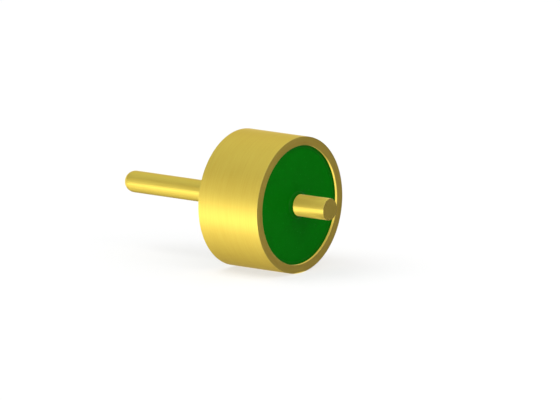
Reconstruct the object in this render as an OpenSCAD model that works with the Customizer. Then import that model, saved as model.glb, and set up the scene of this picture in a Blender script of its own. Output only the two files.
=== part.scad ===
// Glass-to-metal sealed RF pin: a round pin held by a glass bead inside a metal ring.
// Millimetres. The pin lies along X, the ring is centred on the origin,
// and the short flat end of the pin points to +X.

/* [Ring] */
// Bore of the ring, which is also the outside diameter of the glass
ring_bore = 2.78; // [2.2:0.01:4]
// Wall thickness of the ring
ring_wall = 0.2; // [0.17:0.005:0.6]
// Length of the ring along the pin
ring_length = 1.72; // [1:0.01:4]
// Chamfer that breaks the ring's four corners
ring_edge = 0.01; // [0.005:0.001:0.05]

/* [Glass] */
// Depth of the glass face below each rim of the ring
glass_recess = 0.085; // [0.05:0.005:0.3]
// Height that the glass climbs the wall of the ring
ring_meniscus = 0.03; // [0.01:0.005:0.045]
// Height that the glass climbs the pin
pin_meniscus = 0.085; // [0.02:0.005:0.12]
// Angle at which the glass meets the metal, in degrees
contact_angle = 30; // [15:1:60]

/* [Pin] */
// Diameter of the pin
pin_d = 0.508; // [0.3:0.002:0.8]
// Reach of the flat pin end beyond the front rim
front_reach = 0.88; // [0.4:0.01:3]
// Reach of the round pin end beyond the rear rim
rear_reach = 3.38; // [1:0.01:8]
// Chamfer around the flat pin end
pin_edge = 0.01; // [0.005:0.001:0.05]

/* [Hidden] */
$fn = 96;

bore_r = ring_bore / 2;
ring_r = bore_r + ring_wall;
pin_r = pin_d / 2;

front_rim_x = ring_length / 2;
rear_rim_x = -ring_length / 2;
front_end_x = front_rim_x + front_reach;
rear_end_x = rear_rim_x - rear_reach;

// Half length of the glass between its two flat faces
glass_half = ring_length / 2 - glass_recess;
// Radii of the arcs by which the glass climbs the ring and the pin
ring_arc_r = ring_meniscus / (1 - sin(contact_angle));
pin_arc_r = pin_meniscus / (1 - sin(contact_angle));
// Distances from the axis at which the two arcs leave the flat face
ring_foot_r = bore_r - ring_arc_r * cos(contact_angle);
pin_foot_r = pin_r + pin_arc_r * cos(contact_angle);

ring_colour = [0.84, 0.71, 0.31];
pin_colour = [0.86, 0.73, 0.33];
glass_colour = [0, 0.39, 0.04];

// Turns a profile of radius and axial place about the X axis
module turned() {
    rotate([0, 90, 0])
        rotate_extrude()
            children();
}

// Rectangular section between two radii and two axial places, with chamfered corners
module chamfered_section(r_in, r_out, x_low, x_high, edge) {
    polygon([
        [r_in + edge, x_low],
        [r_out - edge, x_low],
        [r_out, x_low + edge],
        [r_out, x_high - edge],
        [r_out - edge, x_high],
        [r_in + edge, x_high],
        [r_in, x_high - edge],
        [r_in, x_low + edge]
    ]);
}

// Plain rectangular section between two radii and two axial places
module section(r_in, r_out, x_low, x_high) {
    translate([r_in, x_low])
        square([r_out - r_in, x_high - x_low]);
}

// Air in front of one glass face: flat in the middle, with one arc down to the ring and one to the pin
module face_air() {
    ring_arc_x = glass_half + ring_arc_r;
    pin_arc_x = glass_half + pin_arc_r;
    air_end_x = ring_arc_x + pin_arc_r;
    section(pin_foot_r, ring_foot_r, glass_half, air_end_x);
    translate([ring_foot_r, ring_arc_x])
        circle(r = ring_arc_r);
    section(pin_foot_r, ring_r, ring_arc_x, air_end_x);
    translate([pin_foot_r, pin_arc_x])
        circle(r = pin_arc_r);
    section(0, ring_foot_r, pin_arc_x, air_end_x);
}

// Turned metal ring that is soldered into a housing wall
module ring() {
    color(ring_colour)
        turned()
            chamfered_section(bore_r, ring_r, rear_rim_x, front_rim_x, ring_edge);
}

// Glass fused to the ring's bore and to the pin, recessed at both rims
module glass_bead() {
    glass_reach = glass_half + max(ring_arc_r, pin_arc_r);
    color(glass_colour)
        turned()
            difference() {
                section(pin_r, bore_r, -glass_reach, glass_reach);
                face_air();
                mirror([0, 1]) face_air();
            }
}

// Straight pin with a ball-nosed rear end and a flat front end
module pin() {
    nose_x = rear_end_x + pin_r;
    color(pin_colour)
        turned() {
            polygon([
                [0, nose_x],
                [pin_r, nose_x],
                [pin_r, front_end_x - pin_edge],
                [pin_r - pin_edge, front_end_x],
                [0, front_end_x]
            ]);
            intersection() {
                translate([0, nose_x])
                    circle(r = pin_r);
                section(0, pin_r, rear_end_x, nose_x);
            }
        }
}

ring();
glass_bead();
pin();
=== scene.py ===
import math
from types import SimpleNamespace
import bmesh
import bpy
from mathutils import Matrix, Vector


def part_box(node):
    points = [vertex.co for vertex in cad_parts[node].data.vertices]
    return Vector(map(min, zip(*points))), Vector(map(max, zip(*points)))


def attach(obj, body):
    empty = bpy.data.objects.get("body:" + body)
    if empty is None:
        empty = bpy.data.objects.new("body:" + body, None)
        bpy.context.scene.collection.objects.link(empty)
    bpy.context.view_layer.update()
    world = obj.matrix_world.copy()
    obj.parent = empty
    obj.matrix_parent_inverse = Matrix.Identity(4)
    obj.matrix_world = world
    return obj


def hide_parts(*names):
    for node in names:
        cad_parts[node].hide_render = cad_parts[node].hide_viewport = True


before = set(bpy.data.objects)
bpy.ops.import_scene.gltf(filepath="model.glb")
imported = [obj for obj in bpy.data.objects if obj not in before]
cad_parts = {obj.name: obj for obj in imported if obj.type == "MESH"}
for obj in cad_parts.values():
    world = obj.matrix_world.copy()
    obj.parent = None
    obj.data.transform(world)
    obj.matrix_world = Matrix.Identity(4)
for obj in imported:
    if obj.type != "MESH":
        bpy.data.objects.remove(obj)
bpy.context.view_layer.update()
print("frame loaded:", ", ".join(sorted(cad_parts)))

mm = 0.001
micron = 0.000001
ringLow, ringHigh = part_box("ring")
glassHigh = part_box("glass_bead")[1]
pinLow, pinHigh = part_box("pin")
ringRadius = ringHigh.z
boreRadius = glassHigh.z
pinRadius = pinHigh.z


class Shade:  # a node socket that takes part in Python expressions
    def __init__(self, tree, socket=None):
        self.tree = tree
        self.socket = socket

    def add(self, kind, settings=None, inputs=None, out=0):  # any node, and one of its outputs
        node = self.tree.nodes.new(kind)
        for key, value in (settings or {}).items():
            setattr(node, key, value)
        for key, value in (inputs or {}).items():
            if isinstance(value, Shade):
                self.tree.links.new(value.socket, node.inputs[key])
            else:
                node.inputs[key].default_value = value
        return Shade(self.tree, node.outputs[out] if node.outputs else None)

    def maths(self, operation, *terms):
        return self.add("ShaderNodeMath", {"operation": operation}, dict(enumerate(terms)))

    def __add__(self, other):
        return self.maths("ADD", self, other)

    def __radd__(self, other):
        return self.maths("ADD", other, self)

    def __sub__(self, other):
        return self.maths("SUBTRACT", self, other)

    def __rsub__(self, other):
        return self.maths("SUBTRACT", other, self)

    def __mul__(self, other):
        return self.maths("MULTIPLY", self, other)

    def __rmul__(self, other):
        return self.maths("MULTIPLY", other, self)

    def ramp(self, start, end):  # 0 at start and below, 1 at end, with soft ends
        return self.add("ShaderNodeMapRange", {"interpolation_type": "SMOOTHSTEP"},
                        {"Value": self, "From Min": start, "From Max": end})


def newMaterial(name):
    material = bpy.data.materials.new(name)
    material.use_nodes = True
    material.node_tree.nodes.clear()
    return material, Shade(material.node_tree)


def lathePlace(shade):  # where a point lies on a turned piece: along the pin, away from it and round it
    place = shade.add("ShaderNodeTexCoord", out="Object")
    spoke = shade.add("ShaderNodeVectorMath", {"operation": "MULTIPLY"}, {0: place, 1: (0, 1, 1)})
    bearing = shade.add("ShaderNodeVectorMath", {"operation": "NORMALIZE"}, {0: spoke})
    return SimpleNamespace(
        place=place,
        along=shade.add("ShaderNodeSeparateXYZ", inputs={"Vector": place}, out="X"),
        radius=shade.add("ShaderNodeVectorMath", {"operation": "LENGTH"}, {0: spoke}, "Value"),
        cosine=shade.add("ShaderNodeSeparateXYZ", inputs={"Vector": bearing}, out="Y"),
        sine=shade.add("ShaderNodeSeparateXYZ", inputs={"Vector": bearing}, out="Z"))


noiseMean = 0.5


def noise(shade, vector, scale, detail, w=0.0, roughness=0.55):
    return shade.add("ShaderNodeTexNoise", {"noise_dimensions": "4D"}, {
        "Vector": vector, "W": w, "Scale": scale, "Detail": detail, "Roughness": roughness})


def bump(shade, height):  # height in microns
    return shade.add("ShaderNodeBump", inputs={"Strength": 1.0, "Distance": micron, "Height": height})


def mixColour(shade, amount, low, high):  # each colour is a tuple or a colour socket
    low, high = (tint if isinstance(tint, Shade) else (*tint, 1) for tint in (low, high))
    return shade.add("ShaderNodeMix", {"data_type": "RGBA"}, {0: amount, 6: low, 7: high}, 2)


def cornerWear(shade, at, corners, reach):  # 1 on the corners, 0 at the reach from them
    wear = None
    for along, radius in corners:
        gap = shade.add("ShaderNodeCombineXYZ", inputs={0: at.along - along, 1: at.radius - radius})
        distance = shade.add("ShaderNodeVectorMath", {"operation": "LENGTH"}, {0: gap}, "Value")
        near = 1 - distance.ramp(0, reach)
        wear = near if wear is None else near.maths("MAXIMUM", wear, near)
    return wear


def goldPlate(name, spec, corners):
    material, shade = newMaterial(name)
    at = lathePlace(shade)
    fine = 1 / spec["markWidth"]
    if spec["marks"] == "turned":  # they run round the piece, and in circles on its flat ends
        vector = shade.add("ShaderNodeCombineXYZ", inputs={
            0: at.along * fine, 1: at.radius * fine, 2: at.cosine * spec["markChange"]})
        marks = noise(shade, vector, scale=1, detail=3, w=at.sine * spec["markChange"])
    else:  # they run along the piece
        vector = shade.add("ShaderNodeVectorMath", {"operation": "MULTIPLY"}, {
            0: at.place, 1: (1 / spec["markLength"], fine, fine)})
        marks = noise(shade, vector, scale=1, detail=3)
    grain = noise(shade, at.place, scale=1 / spec["grainSize"], detail=2)
    cloud = noise(shade, at.place, scale=1 / spec["cloudSize"], detail=2)
    wear = cornerWear(shade, at, corners, spec["wearReach"])

    tone = cloud * spec["cloudShare"] + marks.ramp(*spec["markTone"]) * (1 - spec["cloudShare"])
    colour = mixColour(shade, tone, spec["deepGold"], spec["paleGold"])
    colour = mixColour(shade, wear * spec["wearShare"], colour, spec["wornGold"])
    unevenness = (marks - noiseMean) * spec["markRough"] + (cloud - noiseMean) * spec["cloudRough"]
    surface = shade.add("ShaderNodeBsdfPrincipled", inputs={
        "Base Color": colour, "Metallic": spec["metallic"], "Specular Tint": (*spec["edgeTint"], 1),
        "Roughness": spec["roughness"] + unevenness - wear * spec["wearPolish"],
        "Normal": bump(shade, marks * spec["markDepth"] + grain * spec["grainDepth"])})
    shade.add("ShaderNodeOutputMaterial", inputs={"Surface": surface})
    return material


def turnedProfile(corners, closed, segments):  # corners are (along the pin, radius, rounding)
    bm = bmesh.new()
    verts = [bm.verts.new((along, 0, radius)) for along, radius, _ in corners]
    pairs = list(zip(verts, verts[1:]))
    if closed:
        pairs.append((verts[-1], verts[0]))
    for pair in pairs:
        bm.edges.new(pair)
    for vert, (_, _, rounding) in zip(verts, corners):
        if rounding > 0:
            bmesh.ops.bevel(bm, geom=[vert], offset=rounding, offset_type="OFFSET", affect="VERTICES",
                            segments=segments, profile=0.5, material=-1)
    return bm


mergeGap = 0.01 * micron  # closer points become one


def spinPiece(name, bm, steps):
    bmesh.ops.spin(bm, geom=bm.verts[:] + bm.edges[:], cent=(0, 0, 0), axis=(1, 0, 0),
                   angle=2 * math.pi, steps=steps, use_merge=True, use_duplicate=False)
    bmesh.ops.remove_doubles(bm, verts=bm.verts[:], dist=mergeGap)
    bmesh.ops.recalc_face_normals(bm, faces=bm.faces[:])
    for face in bm.faces:
        face.smooth = True
    mesh = bpy.data.meshes.new(name)
    bm.to_mesh(mesh)
    bm.free()
    piece = bpy.data.objects.new(name, mesh)
    bpy.context.scene.collection.objects.link(piece)
    piece.modifiers.new("flatsFirst", "WEIGHTED_NORMAL").keep_sharp = True
    print(name, "faces", len(mesh.polygons))
    return piece


# turned ring, gold plated
ringSpec = {"edgeRound": 0.004 * mm, "roundSegments": 8, "steps": 256,
            "deepGold": (0.95, 0.7, 0.105), "paleGold": (1.0, 0.79, 0.14), "wornGold": (1.0, 0.8, 0.16),
            "metallic": 0.92, "edgeTint": (1.0, 0.92, 0.6), "roughness": 0.42,
            "marks": "turned", "markWidth": 0.035 * mm, "markChange": 2.5, "markTone": (0.3, 0.7),
            "markRough": 0.16, "markDepth": 2.0, "grainSize": 0.008 * mm, "grainDepth": 0.1,
            "cloudSize": 0.5 * mm, "cloudShare": 0.4, "cloudRough": 0.06,
            "wearReach": 0.04 * mm, "wearShare": 0.5, "wearPolish": 0.1}
ringCorners = [(ringLow.x, boreRadius), (ringLow.x, ringRadius),
               (ringHigh.x, ringRadius), (ringHigh.x, boreRadius)]
ringProfile = turnedProfile([(*corner, ringSpec["edgeRound"]) for corner in ringCorners],
                            closed=True, segments=ringSpec["roundSegments"])
ring = spinPiece("ring_plated", ringProfile, ringSpec["steps"])
ring.data.materials.append(goldPlate("ringGold", ringSpec, ringCorners))

# drawn pin, plated like the ring; its gold is a little paler, painted light that makes the pin a touch
# brighter than the ring;
# its nose is rounded by a hair less than its radius, so that no edge shrinks to nothing
pinSpec = dict(ringSpec, steps=128, noseShare=0.9999,
               deepGold=(0.97, 0.725, 0.108), paleGold=(1.0, 0.815, 0.143), roughness=0.33,
               marks="drawn", markWidth=0.02 * mm, markLength=0.7 * mm, markDepth=2.5)
pinProfile = turnedProfile([
    (pinLow.x, 0, 0),
    (pinLow.x, pinRadius, pinRadius * pinSpec["noseShare"]),
    (pinHigh.x, pinRadius, pinSpec["edgeRound"]),
    (pinHigh.x, 0, 0)], closed=False, segments=pinSpec["roundSegments"])
pin = spinPiece("pin_plated", pinProfile, pinSpec["steps"])
pin.data.materials.append(goldPlate("pinGold", pinSpec, [(pinHigh.x, pinRadius)]))

# green glass, fused to the ring and the pin
glassSpec = {"recess": 0.085 * mm, "ringClimb": 0.03 * mm, "contactAngle": 30, "footShare": 0.999,
             "footSegments": 8, "steps": 256,
             "deepGreen": (0.0, 0.102, 0.0), "paleGreen": (0.0, 0.127, 0.001),
             "cloudSize": 0.4 * mm, "swirl": 1.2, "waveSize": 0.12 * mm, "waveDepth": 0.6,
             "bubbleGreen": (0.004, 0.17, 0.008), "bubbleGap": 0.11 * mm, "bubbleDepth": 3.0,
             "bubbleEdge": (0.078, 0.13),  # its core and its outside, as shares of the gap
             "edgeGreen": (0.0, 0.1, 0.0), "edgeReach": 0.1 * mm, "edgeRough": 0.85,
             "roughness": 0.13, "gloss": 0.08, "refraction": 1.48}
glassFace = ringHigh.x - glassSpec["recess"]
pinClimb = glassHigh.x - glassFace


def climbCorners(wall, side, climb, end):  # glass that climbs a wall: its top there, and its rounded foot
    lean = math.radians(glassSpec["contactAngle"])
    top = (end * (glassFace + climb), wall, 0)
    rounding = climb / math.cos(lean) * glassSpec["footShare"]  # the arc ends a hair below the top
    foot = (end * glassFace, wall + side * climb * math.tan(lean), rounding)
    return [top, foot]


def faceCorners(end):  # one glass face from the pin out to the ring; end is 1 in front and -1 behind
    atPin = climbCorners(pinRadius, 1, pinClimb, end)
    atRing = climbCorners(boreRadius, -1, glassSpec["ringClimb"], end)
    return atPin + atRing[::-1]


def sealGlass(name, spec):
    material, shade = newMaterial(name)
    at = lathePlace(shade)
    cloud = shade.add("ShaderNodeTexNoise", inputs={
        "Vector": at.place, "Scale": 1 / spec["cloudSize"], "Detail": 3, "Distortion": spec["swirl"]})
    wave = noise(shade, at.place, scale=1 / spec["waveSize"], detail=1)
    cell = shade.add("ShaderNodeTexVoronoi", inputs={"Vector": at.place, "Scale": 1 / spec["bubbleGap"]})
    bubble = 1 - cell.ramp(*spec["bubbleEdge"])
    atRing = at.radius.ramp(boreRadius - spec["edgeReach"], boreRadius)
    atPin = 1 - at.radius.ramp(pinRadius, pinRadius + spec["edgeReach"])
    edge = atRing + atPin

    colour = mixColour(shade, cloud, spec["deepGreen"], spec["paleGreen"])
    colour = mixColour(shade, edge, colour, spec["edgeGreen"])
    colour = mixColour(shade, bubble, colour, spec["bubbleGreen"])
    surface = shade.add("ShaderNodeBsdfPrincipled", inputs={
        "Base Color": colour, "Roughness": spec["roughness"] + edge * spec["edgeRough"],
        "IOR": spec["refraction"], "Specular IOR Level": spec["gloss"],
        "Normal": bump(shade, wave * spec["waveDepth"] - bubble * spec["bubbleDepth"])})
    shade.add("ShaderNodeOutputMaterial", inputs={"Surface": surface})
    return material


glassProfile = turnedProfile(faceCorners(1) + faceCorners(-1)[::-1],
                             closed=True, segments=glassSpec["footSegments"])
glass = spinPiece("glass_seal", glassProfile, glassSpec["steps"])
glass.data.materials.append(sealGlass("sealGlass", glassSpec))

for piece, node, slot in ((ring, "ring", "gold_plated_ring"), (pin, "pin", "gold_plated_pin"),
                          (glass, "glass_bead", "green_sealing_glass")):
    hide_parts(node)
    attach(piece, "root")
    piece.visible_glossy = False  # so that the metal and the glass mirror only the studio
print("pieces in place")

viewSpec = {"azimuth": 38.26, "elevation": 10.54, "lens": 800, "imageSize": (560, 400),
            "ringCentrePixel": (270.47, 200.92), "pixelsPerRingRadius": 69.05,
            "clip": (0.1, 10)}  # times the camera's distance


def buildCamera(spec):
    turn = math.radians(spec["azimuth"])
    rise = math.radians(spec["elevation"])
    back = Vector((math.sin(turn) * math.cos(rise), -math.cos(turn) * math.cos(rise), math.sin(rise)))
    right = Vector((math.cos(turn), math.sin(turn), 0))
    up = back.cross(right)
    data = bpy.data.cameras.new("photoCamera")
    data.lens = spec["lens"]
    pixel = ringRadius / spec["pixelsPerRingRadius"]  # metres covered by one pixel
    width, height = spec["imageSize"]
    across, down = spec["ringCentrePixel"]
    aim = right * ((width / 2 - across) * pixel) + up * ((down - height / 2) * pixel)
    distance = width * pixel * data.lens / data.sensor_width
    data.clip_start, data.clip_end = (distance * share for share in spec["clip"])
    camera = bpy.data.objects.new("photoCamera", data)
    facing = (-back).to_track_quat("-Z", "Y").to_matrix().to_4x4()
    camera.matrix_world = Matrix.Translation(aim + back * distance) @ facing
    bpy.context.scene.collection.objects.link(camera)
    bpy.context.scene.camera = camera
    print("camera", round(distance / mm), "mm away")


buildCamera(viewSpec)


def stageSheet(name, bm, material, mirroredOnly):
    mesh = bpy.data.meshes.new(name)
    bm.to_mesh(mesh)
    bm.free()
    mesh.materials.append(material)
    sheet = bpy.data.objects.new(name, mesh)
    bpy.context.scene.collection.objects.link(sheet)
    if mirroredOnly:  # only the metal and the glass show it
        sheet.visible_camera = False
        sheet.visible_diffuse = False
        sheet.visible_transmission = False
        sheet.visible_shadow = False


def card(name, size, matrix, material, mirroredOnly=True):
    bm = bmesh.new()
    bmesh.ops.create_grid(bm, x_segments=1, y_segments=1, size=0.5,  # one metre square before it is scaled
                          matrix=matrix @ Matrix.Diagonal((*size, 1, 1)))
    stageSheet(name, bm, material, mirroredOnly)


floorHeight = ringLow.z
floorSpec = {"size": (1, 1), "paint": (0.9, 0.9, 0.9), "whiteShare": 0.65}


def floorPaint(name, spec):  # keeps the shadow, and is lifted towards white where it is seen or mirrored
    material, shade = newMaterial(name)
    camera, glossy, transmitted = (shade.add("ShaderNodeLightPath", out=ray) for ray in (
        "Is Camera Ray", "Is Glossy Ray", "Is Transmission Ray"))
    seen = shade.maths("MAXIMUM", shade.maths("MAXIMUM", camera, glossy), transmitted)
    paint = shade.add("ShaderNodeBsdfDiffuse", inputs={"Color": (*spec["paint"], 1)})
    white = shade.add("ShaderNodeEmission", inputs={"Color": (1, 1, 1, 1), "Strength": 1.0})
    surface = shade.add("ShaderNodeMixShader", inputs={0: seen * spec["whiteShare"], 1: paint, 2: white})
    shade.add("ShaderNodeOutputMaterial", inputs={"Surface": surface})
    return material


card("floor", floorSpec["size"], Matrix.Translation((0, 0, floorHeight)),
     floorPaint("paleFloor", floorSpec), mirroredOnly=False)


def cardLight(name, spec):  # one level, or one that fades to another along Y
    material, shade = newMaterial(name)
    level = spec["level"]
    if "fade" in spec:
        place = shade.add("ShaderNodeTexCoord", out="Object")
        across = shade.add("ShaderNodeSeparateXYZ", inputs={"Vector": place}, out="Y")
        level = level + across.ramp(*spec["fade"]) * (spec["fadeLevel"] - level)
    light = shade.add("ShaderNodeEmission", inputs={"Color": (*spec["tint"], 1), "Strength": level})
    shade.add("ShaderNodeOutputMaterial", inputs={"Surface": light})
    return material


# glowing cards that lie just above the floor, beside and under the part, which only the metal and the
# glass mirror: a painted highlight band in front, painted shade under the ring and the pin, and a dim
# apron that paints shade on the flat front faces
plainTint = (1.0, 1.0, 1.0)
warmTint = (1.0, 0.95, 0.9)
lilacTint = (0.8, 0.72, 1.0)
cardLift = 0.02 * mm
floorCards = {
    "bounceStrip": {"x": (-10 * mm, 3 * mm), "y": (-8.5 * mm, -2.5 * mm), "tint": plainTint,
                    "level": 1.63, "fade": (-3.4 * mm, -2.5 * mm), "fadeLevel": 0.86},
    "underShade": {"x": (-2.2 * mm, 0.87 * mm), "y": (-2.5 * mm, 4 * mm), "tint": warmTint,
                   "level": 0.92, "fade": (-2.5 * mm, -0.5 * mm), "fadeLevel": 0.42},
    "tailShade": {"x": (-7 * mm, -2.2 * mm), "y": (-2.5 * mm, 4 * mm), "tint": warmTint,
                  "level": 1.15, "fade": (-2.5 * mm, 1.6 * mm), "fadeLevel": 0.3},
    "darkApron": {"x": (0.87 * mm, 16 * mm), "y": (-2 * mm, 15 * mm), "tint": lilacTint, "level": 0.19}}
for name, spec in floorCards.items():
    low, high = (Vector(corner) for corner in zip(spec["x"], spec["y"]))
    middle = Vector((*(low + high) / 2, floorHeight + cardLift))
    card(name, high - low, Matrix.Translation(middle), cardLight(name + "Light", spec))

# upright cards in front of the rim and behind the round tip; they glow dimly and paint shade mirrored by
# the rim, the glass face and the edge of the tip
flags = {
    "darkFlag": {"bearing": 51.7, "distance": 7 * mm, "lift": 1.6 * mm, "size": (7 * mm, 14 * mm),
                 "tint": lilacTint, "level": 0.178},
    "tipFlag": {"bearing": 193, "distance": 12 * mm, "lift": -0.1 * mm, "size": (3 * mm, 9 * mm),
                "tint": plainTint, "level": 0.72}}
upright = Matrix.Rotation(math.pi / 2, 4, "Y")  # stands a card up, to face along X
for name, spec in flags.items():
    turn = Matrix.Rotation(math.radians(spec["bearing"]), 4, "Z")
    spot = Matrix.Translation((spec["distance"], 0, spec["lift"]))
    card(name, spec["size"], turn @ spot @ upright, cardLight(name + "Light", spec))


def addGlows(level, glows, nearness):  # nearness gives the cosine of the angle to the middle of a glow
    for glow in glows:
        outer, inner = (math.cos(math.radians(glow[edge])) for edge in ("outer", "inner"))
        level = level + nearness(glow).ramp(outer, inner) * glow["gain"]
    return level


# disc inside the glass, which the front pin and the bore mirror; angles are degrees from +Y towards +Z
haloSpec = {"along": 0.7 * mm, "radius": 1.55 * mm, "sides": 64, "level": 0.455, "tint": (1.0, 0.97, 0.91),
            "glows": [{"towards": 205, "inner": 5, "outer": 30, "gain": 0.68},
                      {"towards": 128, "inner": 5, "outer": 34, "gain": -0.07},
                      {"towards": 236, "inner": 10, "outer": 75, "gain": 0.21},
                      {"towards": 315, "inner": 10, "outer": 65, "gain": -0.17}],
            "rim": (1.0 * mm, 1.25 * mm),  # from here outwards the bore mirrors it
            "rimGlows": [{"towards": 4, "inner": 6, "outer": 36, "gain": 1.15},
                         {"towards": 303, "inner": 25, "outer": 60, "gain": 0.33},
                         {"towards": 70, "inner": 10, "outer": 34, "gain": -0.06}]}


def haloLight(name, spec):  # only the front side shines
    material, shade = newMaterial(name)
    at = lathePlace(shade)

    def nearness(glow):
        angle = math.radians(glow["towards"])
        return at.cosine * math.cos(angle) + at.sine * math.sin(angle)

    level = addGlows(spec["level"], spec["glows"], nearness)
    level = level + addGlows(0, spec["rimGlows"], nearness) * at.radius.ramp(*spec["rim"])
    light = shade.add("ShaderNodeEmission", inputs={"Color": (*spec["tint"], 1), "Strength": level})
    clear = shade.add("ShaderNodeBsdfTransparent")
    behind = shade.add("ShaderNodeNewGeometry", out="Backfacing")
    surface = shade.add("ShaderNodeMixShader", inputs={0: behind, 1: light, 2: clear})
    shade.add("ShaderNodeOutputMaterial", inputs={"Surface": surface})
    return material


haloMesh = bmesh.new()
bmesh.ops.create_circle(haloMesh, cap_ends=True, segments=haloSpec["sides"], radius=haloSpec["radius"],
                        matrix=Matrix.Translation((haloSpec["along"], 0, 0)) @ upright)
stageSheet("pinHalo", haloMesh, haloLight("pinHaloLight", haloSpec), mirroredOnly=True)

softboxes = {
    "topSoftbox": {"place": (-0.12, -0.14, 0.3), "size": 0.3, "radiance": 3.0},
    "rightFill": {"place": (0.3, -0.06, 0.15), "size": 0.35, "radiance": 1.3}}
for name, spec in softboxes.items():  # round lamps that face the part and aren't mirrored
    data = bpy.data.lights.new(name, "AREA")
    data.shape = "DISK"
    data.size = spec["size"]
    area = math.pi * spec["size"] ** 2 / 4
    data.energy = spec["radiance"] * math.pi * area  # watts
    lamp = bpy.data.objects.new(name, data)
    lamp.location = spec["place"]
    lamp.rotation_mode = "QUATERNION"
    lamp.rotation_quaternion = Vector(spec["place"]).to_track_quat("Z", "Y")
    lamp.visible_glossy = False
    bpy.context.scene.collection.objects.link(lamp)

# sky that is white along the horizon, warm above it, cooler overhead and darker towards +X
skySpec = {"horizonLevel": 1.0, "horizon": (0.0, 0.25),
           "lowLevel": 0.405, "lowTint": (1.0, 0.965, 0.92),
           "topLevel": 0.565, "topTint": (0.917, 0.961, 1.0), "rise": (0.5, 0.8),
           "frontShare": 0.72, "front": (-0.1, 0.5),
           "glows": [{"towards": (-0.45, 0.75, 0.45), "inner": 10, "outer": 50, "gain": 0.14},
                     {"towards": (-0.61, -0.5, 0.61), "inner": 4, "outer": 18, "gain": -0.08},
                     {"towards": (-0.61, -0.7, 0.37), "inner": 3, "outer": 16, "gain": 0.28},
                     {"towards": (-0.61, -0.79, 0.06), "inner": 3, "outer": 14, "gain": -0.26},
                     {"towards": (0.62, -0.45, 0.64), "inner": 12, "outer": 34, "gain": 1.3},
                     {"towards": (0.6, 0.6, 0.53), "inner": 10, "outer": 30, "gain": 0.9}]}


def studioSky(spec):
    world = bpy.data.worlds.new("studio")
    bpy.context.scene.world = world
    world.use_nodes = True
    world.node_tree.nodes.clear()
    shade = Shade(world.node_tree)
    towards = shade.add("ShaderNodeTexCoord", out="Generated")
    ahead = shade.add("ShaderNodeSeparateXYZ", inputs={"Vector": towards}, out="X")
    height = shade.add("ShaderNodeSeparateXYZ", inputs={"Vector": towards}, out="Z")

    def nearness(glow):
        middle = tuple(Vector(glow["towards"]).normalized())
        return shade.add("ShaderNodeVectorMath", {"operation": "DOT_PRODUCT"},
                         {0: towards, 1: middle}, "Value")

    above = height.ramp(*spec["horizon"])
    top = height.ramp(*spec["rise"])
    level = spec["lowLevel"] + top * (spec["topLevel"] - spec["lowLevel"])
    level = level * (1 - ahead.ramp(*spec["front"]) * (1 - spec["frontShare"]))
    level = spec["horizonLevel"] + above * (level - spec["horizonLevel"])
    level = addGlows(level, spec["glows"], nearness)
    colour = mixColour(shade, top, spec["lowTint"], spec["topTint"])
    colour = mixColour(shade, above, plainTint, colour)
    sky = shade.add("ShaderNodeBackground", inputs={"Color": colour, "Strength": level})
    shade.add("ShaderNodeOutputWorld", inputs={"Surface": sky})


studioSky(skySpec)
print("studio lit")

bpy.context.scene.view_settings.view_transform = "Standard"
